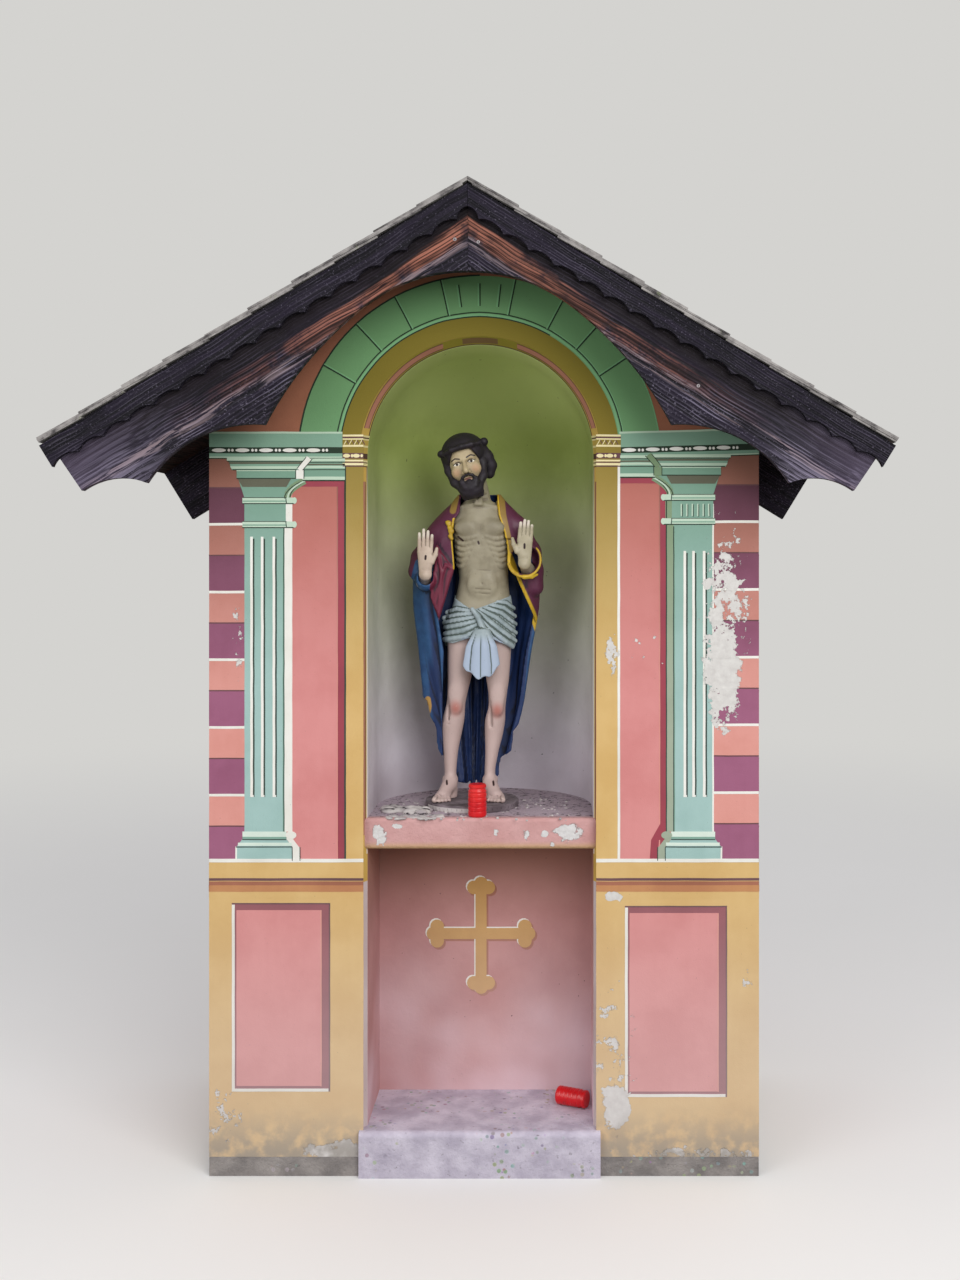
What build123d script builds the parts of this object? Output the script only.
from build123d import *

import os
from math import cos, pi, radians, sin, tan

# Wayside niche shrine of plastered masonry under a wooden gable roof.
# Millimetres, +Z up. The front faces -Y. The origin is on the ground under the middle of the body.

os.makedirs("parts", exist_ok=True)

LEFT, RIGHT = -1, 1
SIDE_NAMES = {LEFT: "left", RIGHT: "right"}

# Masonry body
body_width = 1700
body_depth = 880
footing_height = 60
step_height = 142
step_nosing = 18
recess_height = 864
recess_depth = 330
ledge_thickness = 96
ledge_setback = 25
ledge_rounding = 12
jamb_height = 1123
rear_wall_thickness = 180

# Niche: a straight mouth with splayed edges, then a half round back under a half dome
niche_offset = -13
niche_radius = 352
niche_mouth_depth = 258
splay_width = 21
splay_depth = 40
lining_thickness = 60
dome_cover = 80

# Roof
roof_offset = -36
roof_pitch = 31.5
roof_half_width = 1260
front_overhang = 250
rear_overhang = 110
eaves_margin = 95
plate_height = 117
plate_width = 110
purlin_height = 120
purlin_width = 100
sheathing_thickness = 24
shingle_thickness = 8
shingle_layers = 3
shingle_exposure = 150
shingle_projection = 12
joint_gap = 0.5

# Sawn boards of the gables
bargeboard_thickness = 30
trim_thickness = 22
trim_depth = 73
scallop_pitch = 83
scallop_rise = 15
apex_arch_half_width = 31
apex_arch_rise = 38
rear_bargeboard_depth = 225
board_end_setback = 40
arch_crown = 2757
arch_haunch = (367, 2603)
arch_foot = (599, 2305)
arch_foot_lean = 27
long_scallop_top = (740, 2290)
long_scallop_foot = (946, 2133)
short_scallop_top = (1040, 2146)
board_corner = (1135, 2110)

# Figure
plinth_radius = 155
plinth_height = 25
plinth_chamfer = 6
statue_offset = -52
statue_setback = 255
cloak_thickness = 20
cloak_opening = 30
hand_thickness = 15
palm_width = 56
palm_length = 70
palm_corner = 14
wrist_overlap = 12
finger_width = 12.5
finger_length = 76
finger_lifts = (0, 8, 10, 2)
finger_pitch = 14
finger_root = 20
thumb_length = 52
thumb_lean = 16
loincloth_tab_offset = 38
loincloth_tab_front = -78
loincloth_tab_top = 560
loincloth_tab_foot = 392
loincloth_tab_width = 84
loincloth_tab_depth = 40
loincloth_pleat_depth = 7
loincloth_pleats = 6
figure_reach = 1300

# Votive candles
candle_radius = 29
candle_height = 102
candle_neck_radius = 25
candle_lid_height = 14
candle_edge = 4
candle_rib_depth = 1.2
candle_ribs = 5
candle_offset = -24
candle_setback = 60
fallen_candle_gap = 63
fallen_candle_setback = 191
fallen_candle_turn = 25

# Levels and depths that follow from the sizes above
half_width = body_width / 2
front = -body_depth / 2
rear = body_depth / 2
ledge_bottom = step_height + recess_height
ledge_top = ledge_bottom + ledge_thickness
springing = ledge_top + jamb_height
recess_back = front + recess_depth
apse_centre = front + niche_mouth_depth
rear_wall_front = rear - rear_wall_thickness
dome_top = springing + niche_radius + dome_cover
slope = tan(radians(roof_pitch))
across = 1 / cos(radians(roof_pitch))
soffit_apex = springing + eaves_margin + plate_height + (half_width + abs(roof_offset)) * slope
cover_apex = soffit_apex + sheathing_thickness * across
roof_front = front - front_overhang
roof_rear = rear + rear_overhang


def soffit(x):
    """Height of the underside of the sheathing above the point x."""
    return soffit_apex - abs(x - roof_offset) * slope


def wall_top(side):
    """Height of the side wall, which carries the wall plate under the soffit."""
    return soffit(side * half_width) - plate_height


def upright(y):
    """Upright plane at the depth y that looks to the front."""
    return Plane.XZ.offset(-y)


def finish(piece, name):
    """Give a finished piece its name and write it."""
    piece.part.label = name
    export_step(piece.part, f"parts/{name}.step")


# Footing of rubble, notched for the step
with BuildPart() as footing:
    with BuildSketch():
        Rectangle(body_width, body_depth)
        with Locations((niche_offset, (front + recess_back) / 2)):
            Rectangle(2 * (niche_radius + splay_width), recess_depth, mode=Mode.SUBTRACT)
    extrude(amount=footing_height)
finish(footing, "footing")


def pier_plan(side, lining=0):
    """Plan of the masonry beside the opening, with its splayed edge, in the sketch at hand."""
    outer = side * half_width
    edge = niche_offset + side * niche_radius
    rebate = [(edge, apse_centre), (edge + side * lining, apse_centre)] if lining else []
    Polygon(
        (outer, front),
        (edge + side * splay_width, front),
        (edge, front + splay_depth),
        *rebate,
        (edge + side * lining, rear_wall_front),
        (outer, rear_wall_front),
        align=None,
    )


def make_pier_base(side):
    """Lower masonry beside the recess."""
    with BuildPart() as pier_base:
        with BuildSketch(Plane.XY.offset(footing_height)):
            pier_plan(side)
        extrude(amount=ledge_bottom - footing_height)
    return pier_base


def make_pier(side):
    """Upper masonry beside the niche, rebated for the curved lining above the ledge."""
    with BuildPart() as pier:
        with BuildSketch(Plane.XY.offset(ledge_bottom)):
            pier_plan(side)
        extrude(amount=ledge_thickness)
        with BuildSketch(Plane.XY.offset(ledge_top)):
            pier_plan(side, lining_thickness)
        extrude(amount=jamb_height)
    return pier


def make_apse_wall(side):
    """Half of the niche's curved back, seen in plan as a quarter circle."""
    edge = niche_offset + side * niche_radius
    outer = edge + side * lining_thickness
    with BuildPart() as apse_wall:
        with BuildSketch(Plane.XY.offset(ledge_top)):
            with BuildLine():
                Line((outer, apse_centre), (edge, apse_centre))
                RadiusArc(
                    (edge, apse_centre), (niche_offset, apse_centre + niche_radius), -side * niche_radius
                )
                Polyline(
                    (niche_offset, apse_centre + niche_radius),
                    (niche_offset, rear_wall_front),
                    (outer, rear_wall_front),
                    (outer, apse_centre),
                )
            make_face()
        extrude(amount=jamb_height)
    return apse_wall


def make_side_wall(side):
    """Wall above the pier that carries the wall plate."""
    inner = niche_offset + side * (niche_radius + lining_thickness)
    with BuildPart() as side_wall:
        with BuildSketch(Plane.XY.offset(springing)):
            with BuildLine():
                Polyline(
                    (side * half_width, apse_centre),
                    (inner, apse_centre),
                    (inner, rear_wall_front),
                    (side * half_width, rear_wall_front),
                    close=True,
                )
            make_face()
        extrude(amount=wall_top(side) - springing)
    return side_wall


def make_half_dome(side):
    """Half of the masonry over the niche's curved back, hollowed by a ball."""
    outer = niche_offset + side * (niche_radius + lining_thickness)
    with BuildPart() as half_dome:
        with BuildSketch(Plane.XY.offset(springing)):
            with BuildLine():
                Polyline(
                    (niche_offset, apse_centre),
                    (outer, apse_centre),
                    (outer, rear_wall_front),
                    (niche_offset, rear_wall_front),
                    close=True,
                )
            make_face()
        extrude(amount=dome_top - springing)
        with Locations((niche_offset, apse_centre, springing)):
            Sphere(niche_radius, mode=Mode.SUBTRACT)
    return half_dome


def timber_pockets():
    """Cut the seats of the wall plates and the ridge purlin out of the gable wall at hand."""
    for side in (LEFT, RIGHT):
        low = wall_top(side)
        centre = side * (half_width - plate_width / 2)
        with Locations((centre, 0, low + plate_height)):
            Box(plate_width, body_depth, 2 * plate_height, mode=Mode.SUBTRACT)
    with Locations((roof_offset, 0, soffit_apex)):
        Box(purlin_width, body_depth, 2 * purlin_height, mode=Mode.SUBTRACT)


def make_arch_wall(side):
    """Half of the gable front over the arch, with the splayed arch edge and timber seats."""
    with BuildPart() as arch_wall:
        with BuildSketch(upright(apse_centre)):
            with BuildLine():
                Polyline(
                    (niche_offset, springing),
                    (side * half_width, springing),
                    (side * half_width, soffit(side * half_width)),
                    *([(roof_offset, soffit_apex)] if side * (roof_offset - niche_offset) > 0 else []),
                    (niche_offset, soffit(niche_offset)),
                    close=True,
                )
            make_face()
        extrude(amount=niche_mouth_depth)
        with BuildSketch(upright(apse_centre)):
            with Locations((niche_offset, springing)):
                Circle(niche_radius)
        extrude(amount=niche_mouth_depth, mode=Mode.SUBTRACT)
        with BuildSketch(upright(front)):
            with Locations((niche_offset, springing)):
                Circle(niche_radius + splay_width)
        with BuildSketch(upright(front + splay_depth)):
            with Locations((niche_offset, springing)):
                Circle(niche_radius)
        loft(mode=Mode.SUBTRACT)
        timber_pockets()
    return arch_wall


makers = {
    "pier_base": make_pier_base,
    "pier": make_pier,
    "apse_wall": make_apse_wall,
    "side_wall": make_side_wall,
    "half_dome": make_half_dome,
    "arch_wall": make_arch_wall,
}
for name, maker in makers.items():
    for side in (LEFT, RIGHT):
        finish(maker(side), f"{SIDE_NAMES[side]}_{name}")

with BuildPart() as recess_back_wall:
    with BuildSketch(Plane.XY.offset(footing_height)):
        with Locations((niche_offset, (recess_back + rear_wall_front) / 2)):
            Rectangle(2 * niche_radius, rear_wall_front - recess_back)
    extrude(amount=ledge_bottom - footing_height)
finish(recess_back_wall, "recess_back_wall")


def opening_plan(front_edge, back_edge):
    """Plan of a slab that fills the opening between the splayed piers, in the sketch at hand."""
    throat = front + splay_depth
    wide = niche_radius + splay_width
    if front_edge < front:
        mouth = [(wide, front_edge), (wide, front)]
    else:
        mouth = [(wide - splay_width * (front_edge - front) / splay_depth, front_edge)]
    half = [*mouth, (niche_radius, throat), (niche_radius, back_edge)]
    mirrored = [(-x, y) for x, y in reversed(half)]
    with Locations((niche_offset, 0)):
        Polygon(*half, *mirrored, align=None)


with BuildPart() as threshold_step:
    with BuildSketch():
        opening_plan(front - step_nosing, recess_back)
    extrude(amount=step_height)
    nosing = threshold_step.edges().filter_by(Axis.X).group_by(Axis.Y)[0].sort_by(Axis.Z)[-1]
    fillet(nosing, radius=step_nosing)
finish(threshold_step, "threshold_step")

with BuildPart() as niche_floor:
    with BuildSketch(Plane.XY.offset(ledge_bottom)):
        opening_plan(front + ledge_setback, rear_wall_front)
    extrude(amount=ledge_thickness)
    lip = niche_floor.edges().filter_by(Axis.X).group_by(Axis.Y)[0]
    fillet(lip, radius=ledge_rounding)
finish(niche_floor, "niche_floor")

with BuildPart() as rear_wall:
    with BuildSketch(upright(rear)):
        Polygon(
            (-half_width, footing_height),
            (half_width, footing_height),
            (half_width, soffit(half_width)),
            (roof_offset, soffit_apex),
            (-half_width, soffit(-half_width)),
            align=None,
        )
    extrude(amount=rear_wall_thickness)
    timber_pockets()
finish(rear_wall, "rear_wall")

# Roof: depths of its layers from front to rear
trim_front = roof_front + shingle_projection
board_front = trim_front + trim_thickness
timber_front = board_front + bargeboard_thickness
timber_rear = roof_rear - bargeboard_thickness - shingle_projection
cover_depth = sheathing_thickness + shingle_layers * shingle_thickness


def on_slope(side, down, out):
    """Point of the gable's outline: so far down the slope and so far out from the soffit."""
    pitch = radians(roof_pitch)
    x = roof_offset + side * (down * cos(pitch) + out * sin(pitch))
    return x, soffit_apex - down * sin(pitch) + out * cos(pitch)


def ridge_cut(out):
    """Distance down the slope at which the upright plane of the ridge lies, so far out."""
    return -out * slope


def make_board(y_front, y_back, *outline):
    """Timber with the given outline in the gable's plane, between two depths."""
    with BuildPart() as board:
        with BuildSketch(upright(y_back)):
            Polygon(*outline, align=None)
        extrude(amount=y_back - y_front)
    return board


purlin_half = purlin_width / 2
ridge_purlin = make_board(
    timber_front,
    timber_rear,
    (roof_offset - purlin_half, soffit_apex - purlin_height),
    (roof_offset + purlin_half, soffit_apex - purlin_height),
    (roof_offset + purlin_half, soffit(roof_offset + purlin_half)),
    (roof_offset, soffit_apex),
    (roof_offset - purlin_half, soffit(roof_offset - purlin_half)),
)
finish(ridge_purlin, "ridge_purlin")


def make_wall_plate(side):
    """Beam along the top of the side wall, bevelled to the pitch of the roof."""
    outer = side * half_width
    inner = outer - side * plate_width
    low = wall_top(side)
    return make_board(
        timber_front, timber_rear, (outer, low), (inner, low), (inner, soffit(inner)), (outer, soffit(outer))
    )


def make_sheathing(side):
    """Boards under the shingles, mitred at the ridge."""
    reach = (roof_half_width - board_end_setback) * across
    top = sheathing_thickness
    return make_board(
        timber_front,
        timber_rear,
        on_slope(side, 0, 0),
        on_slope(side, reach, 0),
        on_slope(side, reach, top),
        on_slope(side, ridge_cut(top), top),
    )


def make_shingles(side):
    """Courses of split shingles as one stepped cover, whose head meets the other at the ridge."""
    reach = roof_half_width * across - cover_depth * slope
    courses = int(reach / shingle_exposure)
    exposure = reach / courses
    outline = [on_slope(side, ridge_cut(sheathing_thickness), sheathing_thickness)]
    outline.append(on_slope(side, reach, sheathing_thickness))
    for course in range(courses):
        butt = reach - course * exposure
        outline.append(on_slope(side, butt, cover_depth))
        if course < courses - 1:
            outline.append(on_slope(side, butt - exposure, cover_depth - shingle_thickness))
    outline.append(on_slope(side, ridge_cut(cover_depth), cover_depth))
    return make_board(roof_front, roof_rear, *outline)


def make_front_bargeboard(side):
    """Sawn board of the front gable: an arch over the painted ring, then two scallops to the eave."""

    def at(out, height):
        """Point of the board's outline, so far out from the gable's middle, at a height."""
        return roof_offset + side * out, height

    top = sheathing_thickness
    reach = (roof_half_width - board_end_setback) * across
    lean = radians(arch_foot_lean)
    with BuildPart() as bargeboard:
        with BuildSketch(upright(timber_front)):
            with BuildLine():
                Spline(
                    at(joint_gap, arch_crown),
                    at(*arch_haunch),
                    at(*arch_foot),
                    tangents=((side, 0), (side * sin(lean), -cos(lean))),
                )
                ThreePointArc(at(*arch_foot), at(*long_scallop_top), at(*long_scallop_foot))
                ThreePointArc(at(*long_scallop_foot), at(*short_scallop_top), at(*board_corner))
                Polyline(
                    at(*board_corner),
                    on_slope(side, reach, top),
                    at(joint_gap, soffit_apex + top * across - joint_gap * slope),
                    at(joint_gap, arch_crown),
                )
            make_face()
        extrude(amount=bargeboard_thickness)
    return bargeboard


def make_trim(side):
    """Scalloped board on the face of the bargeboard, with half of the little pointed arch at the apex."""
    top = sheathing_thickness
    low = top - trim_depth
    reach = (roof_half_width - board_end_setback / 2) * across
    arch_side = joint_gap + apex_arch_half_width
    first = arch_side * across + ridge_cut(low)
    count = int((reach - first) / scallop_pitch)
    pitch = (reach - first) / count
    arch_foot_x, arch_foot_z = on_slope(side, first, low)
    arch_top = (roof_offset + side * joint_gap, arch_foot_z + apex_arch_rise)
    with BuildPart() as trim:
        with BuildSketch(upright(board_front)):
            with BuildLine():
                TangentArc((arch_foot_x, arch_foot_z), arch_top, tangent=(0, 1))
                for index in range(count):
                    left_end = first + index * pitch
                    ThreePointArc(
                        on_slope(side, left_end, low),
                        on_slope(side, left_end + pitch / 2, low + scallop_rise),
                        on_slope(side, left_end + pitch, low),
                    )
                Polyline(
                    on_slope(side, reach, low),
                    on_slope(side, reach, top),
                    (roof_offset + side * joint_gap, cover_apex - joint_gap * slope),
                    arch_top,
                )
            make_face()
        extrude(amount=trim_thickness)
    return trim


def make_rear_bargeboard(side):
    """Plain straight board of the rear gable."""
    top = sheathing_thickness
    low = top - rear_bargeboard_depth
    reach = (roof_half_width - board_end_setback) * across
    return make_board(
        timber_rear,
        timber_rear + bargeboard_thickness,
        on_slope(side, ridge_cut(low), low),
        on_slope(side, reach, low),
        on_slope(side, reach, top),
        on_slope(side, ridge_cut(top), top),
    )


makers = {
    "wall_plate": make_wall_plate,
    "sheathing": make_sheathing,
    "shingles": make_shingles,
    "front_bargeboard": make_front_bargeboard,
    "scalloped_trim": make_trim,
    "rear_bargeboard": make_rear_bargeboard,
}
for name, maker in makers.items():
    for side in (LEFT, RIGHT):
        finish(maker(side), f"{SIDE_NAMES[side]}_{name}")

# Figure: heights are above its plinth, distances across and back are from the plinth's axis
plinth_base = Plane.XY.offset(ledge_top).shift_origin((statue_offset, front + statue_setback, ledge_top))
figure_base = plinth_base.offset(plinth_height)
figure_upright = Plane(origin=figure_base.origin, x_dir=(1, 0, 0), z_dir=(0, -1, 0))

with BuildPart() as statue_plinth:
    with BuildSketch(plinth_base):
        Circle(plinth_radius)
    extrude(amount=plinth_height)
    chamfer(statue_plinth.edges().group_by(Axis.Z)[-1], length=plinth_chamfer)
finish(statue_plinth, "statue_plinth")

# Ovals of each form: height, across, back, half width, half depth
left_leg = [
    (20, -73, 22, 20, 26),
    (86, -73, 26, 21, 24),
    (152, -72, 26, 24, 28),
    (253, -64, 28, 37, 40),
    (309, -54, 20, 30, 35),
    (386, -44, 20, 36, 42),
    (470, -34, 24, 44, 50),
    (540, -30, 24, 44, 50),
]
right_leg = [
    (20, 58, 18, 18, 26),
    (92, 57, 24, 18, 24),
    (152, 64, 24, 22, 28),
    (253, 74, 26, 34, 40),
    (296, 81, 16, 27, 34),
    (386, 83, 18, 35, 42),
    (470, 80, 24, 44, 50),
    (540, 78, 24, 44, 50),
]
torso = [
    (500, 24, 24, 112, 72),
    (580, 28, 26, 102, 67),
    (660, 34, 26, 90, 60),
    (740, 36, 21, 84, 58),
    (820, 30, 19, 92, 63),
    (890, 25, 21, 99, 65),
    (955, 22, 28, 72, 48),
]
neck = [(900, 20, 28, 44, 42), (970, 20, 24, 40, 39), (1045, 6, 18, 36, 38)]
upper_arms = {
    LEFT: [
        (715, -166, -2, 30, 34),
        (760, -158, 10, 37, 42),
        (830, -128, 22, 41, 46),
        (900, -90, 28, 40, 44),
        (940, -60, 30, 30, 34),
    ],
    RIGHT: [
        (735, 190, -2, 30, 34),
        (780, 184, 10, 37, 42),
        (850, 158, 22, 41, 46),
        (915, 122, 28, 40, 44),
        (950, 92, 30, 30, 34),
    ],
}
forearms = {
    LEFT: [(690, -162, 4, 36, 36), (712, -154, -32, 27, 30), (742, -147, -58, 18, 14)],
    RIGHT: [(708, 186, 4, 36, 36), (738, 178, -32, 27, 30), (772, 173, -58, 18, 14)],
}
head = [
    (1012, -8, -22, 20, 24),
    (1030, -12, -14, 40, 48),
    (1070, -22, -6, 56, 68),
    (1115, -30, 0, 61, 76),
    (1165, -35, 4, 56, 70),
    (1198, -37, 6, 38, 48),
]
hair = [
    (1040, 0, 36, 56, 44),
    (1080, -12, 26, 74, 60),
    (1130, -28, 10, 76, 80),
    (1170, -34, 6, 73, 80),
    (1202, -36, 8, 52, 58),
    (1218, -37, 8, 24, 28),
]
side_lock = [(1010, 68, 24, 14, 16), (1050, 72, 22, 20, 24), (1100, 58, 20, 22, 28), (1140, 40, 16, 16, 26)]
whiskers = [(1034, -12, -10, 52, 34), (1075, -22, 0, 62, 36), (1112, -28, 6, 70, 36)]
beard = [
    (984, 0, -30, 12, 12),
    (1004, -2, -32, 32, 28),
    (1034, -12, -32, 48, 44),
    (1062, -20, -28, 56, 52),
]
hair_front_cut = Box(110, 90, 130, mode=Mode.PRIVATE)
hair_front_cut.position = (-25, -78, 1072)
loincloth_rings = [
    (452, 20, 16, 108, 72),
    (520, 22, 22, 116, 80),
    (590, 26, 24, 110, 78),
    (640, 33, 24, 100, 70),
    (668, 34, 24, 96, 66),
]
cloak_rings = [
    (30, 5, 50, 118, 64),
    (150, 5, 50, 150, 74),
    (300, 4, 52, 184, 88),
    (470, 4, 50, 192, 96),
    (620, 10, 44, 212, 100),
    (780, 14, 40, 214, 96),
    (880, 18, 38, 180, 88),
    (950, 22, 36, 110, 70),
    (990, 22, 34, 70, 58),
]
# Outlines of the hems that hang free at the two sides, across and up
left_hem = [
    (-260, 345),
    (-170, 330),
    (-146, 315),
    (-122, 230),
    (-116, 150),
    (-92, 110),
    (-92, -20),
    (-260, -20),
]
right_hem = [(260, 300), (192, 290), (132, 213), (122, 150), (84, 120), (84, -20), (260, -20)]
wrists = {LEFT: (-147, -58, 742), RIGHT: (173, -58, 772)}
ankles = {LEFT: (-75, 0), RIGHT: (60, -2)}


def add_ovals(rings, shrink=0):
    """Loft ovals, given as height, across, back, half width and half depth, into a part of its own."""
    with BuildPart() as form:
        for height, across_by, back_by, half_across, half_back in rings:
            with BuildSketch(figure_base.offset(height)):
                with Locations((across_by, back_by)):
                    Ellipse(half_across - shrink, half_back - shrink)
        loft()
    return form.part


# Cross-sections of a foot from heel to toes: back, out from the ankle, half width, height
foot_sections = [
    (52, 0, 14, 22),
    (30, 0, 22, 40),
    (-8, 2, 25, 44),
    (-48, 8, 31, 26),
    (-80, 12, 33, 16),
    (-98, 12, 24, 9),
]


def make_foot(side):
    """Bare foot as a loft from heel to toes, turned a little outwards and flat underneath."""
    ankle, heel = ankles[side]
    with BuildPart() as foot:
        for back_by, out, half_across, height in foot_sections:
            with BuildSketch(figure_upright.offset(-back_by - heel)):
                with Locations((ankle + side * out, 0)):
                    Ellipse(half_across, height)
        loft()
        with BuildSketch(figure_base):
            Rectangle(figure_reach, figure_reach)
        extrude(amount=-figure_reach, mode=Mode.SUBTRACT)
    return foot.part


def make_hand(side):
    """Open palm with four fingers and a thumb, held upright above the wrist."""
    across_by, back_by, height = wrists[side]
    with BuildPart() as hand:
        with BuildSketch(figure_upright.offset(-back_by - hand_thickness / 2)):
            with Locations((across_by, height + palm_length / 2)):
                RectangleRounded(palm_width, palm_length + wrist_overlap, palm_corner)
            for number, lift in enumerate(finger_lifts):
                length = finger_length + lift
                finger_at = across_by + side * (number - 1.5) * finger_pitch
                with Locations((finger_at, height + palm_length + length / 2 - finger_root)):
                    SlotOverall(length, finger_width, rotation=90)
            thumb_at = across_by - side * (palm_width + finger_width) / 2
            with Locations((thumb_at, height + palm_length * 0.55)):
                SlotOverall(thumb_length, finger_width, rotation=90 + side * thumb_lean)
        extrude(amount=hand_thickness)
    return hand.part


with BuildPart() as statue_body:
    for rings in (torso, neck, left_leg, right_leg):
        add(add_ovals(rings))
    for side in (LEFT, RIGHT):
        add(make_foot(side))
finish(statue_body, "statue_body")

hands = {}
for side in (LEFT, RIGHT):
    with BuildPart() as hand:
        add(make_hand(side))
        add(add_ovals(forearms[side]))
    hands[side] = hand
    finish(hand, f"{SIDE_NAMES[side]}_hand")

with BuildPart() as statue_head:
    add(add_ovals(head))
    add(statue_body.part, mode=Mode.SUBTRACT)
finish(statue_head, "statue_head")

with BuildPart() as hair_and_beard:
    add(add_ovals(hair))
    add(figure_base.from_local_coords(hair_front_cut), mode=Mode.SUBTRACT)
    for rings in (side_lock, whiskers, beard):
        add(add_ovals(rings))
    add(statue_head.part, mode=Mode.SUBTRACT)
    add(statue_body.part, mode=Mode.SUBTRACT)
finish(hair_and_beard, "hair_and_beard")


def make_front_tab():
    """Pleated end of the loincloth, rounded below, that hangs in front of the thighs."""
    half = loincloth_tab_width / 2
    left, right = loincloth_tab_offset - half, loincloth_tab_offset + half
    back = loincloth_tab_front + loincloth_tab_depth
    pleat = loincloth_tab_width / loincloth_pleats
    waves = []
    for step in range(loincloth_pleats * 4 + 1):
        out = loincloth_pleat_depth * sin(step * pi / 2)
        waves.append((left + step * pleat / 4, loincloth_tab_front - out))
    with BuildPart() as tab:
        with BuildSketch(figure_base.offset(loincloth_tab_foot)):
            with BuildLine():
                Spline(*waves)
                Polyline(waves[-1], (right, back), (left, back), waves[0])
            make_face()
        extrude(amount=loincloth_tab_top - loincloth_tab_foot)
        with BuildSketch(figure_upright.offset(-back - half)):
            with Locations((loincloth_tab_offset, loincloth_tab_foot + half * 1.25)):
                Rectangle(half * 3, half * 2.6)
                Circle(half * 1.25, mode=Mode.SUBTRACT)
                with Locations((0, half)):
                    Rectangle(half * 3.2, half * 2, mode=Mode.SUBTRACT)
        extrude(amount=half * 4, mode=Mode.SUBTRACT)
    return tab.part


with BuildPart() as loincloth:
    add(add_ovals(loincloth_rings))
    add(make_front_tab())
    add(statue_body.part, mode=Mode.SUBTRACT)
finish(loincloth, "loincloth")


def hem_cut(outline):
    """Prism that trims the cloak's lower corner to the given outline."""
    with BuildPart() as cut:
        with BuildSketch(figure_upright):
            Polygon(*outline, align=None)
        extrude(amount=figure_reach, both=True)
    return cut.part


with BuildPart() as cloak:
    add(add_ovals(cloak_rings))
    add(add_ovals(cloak_rings, shrink=cloak_thickness), mode=Mode.SUBTRACT)
    with BuildSketch(figure_base):
        with Locations((0, cloak_opening - figure_reach / 2)):
            Rectangle(figure_reach, figure_reach)
    extrude(amount=figure_reach, mode=Mode.SUBTRACT)
    for outline in (left_hem, right_hem):
        add(hem_cut(outline), mode=Mode.SUBTRACT)
    for rings in upper_arms.values():
        add(add_ovals(rings))
    for piece in (statue_body, loincloth, statue_head, hair_and_beard, *hands.values()):
        add(piece.part, mode=Mode.SUBTRACT)
with BuildPart() as draped_cloak:
    add(cloak.solids().sort_by(SortBy.VOLUME)[-1])
finish(draped_cloak, "cloak")


def make_candle(base):
    """Closed plastic cup with ribs and a lid, turned about its own axis."""
    body_top = candle_height - candle_lid_height
    shoulder = body_top - 2 * candle_edge
    lid_radius = candle_radius - candle_edge / 4
    pitch = (shoulder - 2 * candle_edge) / candle_ribs
    ribs = []
    for rib in range(candle_ribs):
        low = candle_edge * 1.5 + rib * pitch
        ribs += [
            (candle_radius, low),
            (candle_radius, low + pitch * 0.6),
            (candle_radius - candle_rib_depth, low + pitch * 0.75),
            (candle_radius - candle_rib_depth, low + pitch * 0.9),
        ]
    with BuildPart() as candle:
        with BuildSketch(Plane(base.origin, x_dir=base.x_dir, z_dir=-base.y_dir)):
            Polygon(
                (0, 0),
                (candle_radius - candle_edge, 0),
                (lid_radius, candle_edge * 0.75),
                *ribs,
                (candle_radius, shoulder),
                (candle_neck_radius, body_top),
                (candle_neck_radius, body_top + candle_edge * 0.75),
                (lid_radius, body_top + candle_edge),
                (lid_radius, candle_height - candle_edge * 0.75),
                (candle_radius - candle_edge, candle_height),
                (0, candle_height),
                align=None,
            )
        revolve(axis=Axis(base.origin, base.z_dir))
    return candle


finish(make_candle(Plane((candle_offset, front + candle_setback, ledge_top))), "votive_candle")

fallen_offset = niche_offset + niche_radius - fallen_candle_gap
turned = radians(fallen_candle_turn)
middle = Vector(fallen_offset, front + fallen_candle_setback, step_height + candle_radius)
axis = Vector(cos(turned), -sin(turned), 0)
lying = Plane(origin=middle - axis * candle_height / 2, x_dir=(0, 0, 1), z_dir=axis)
finish(make_candle(lying), "fallen_votive_candle")
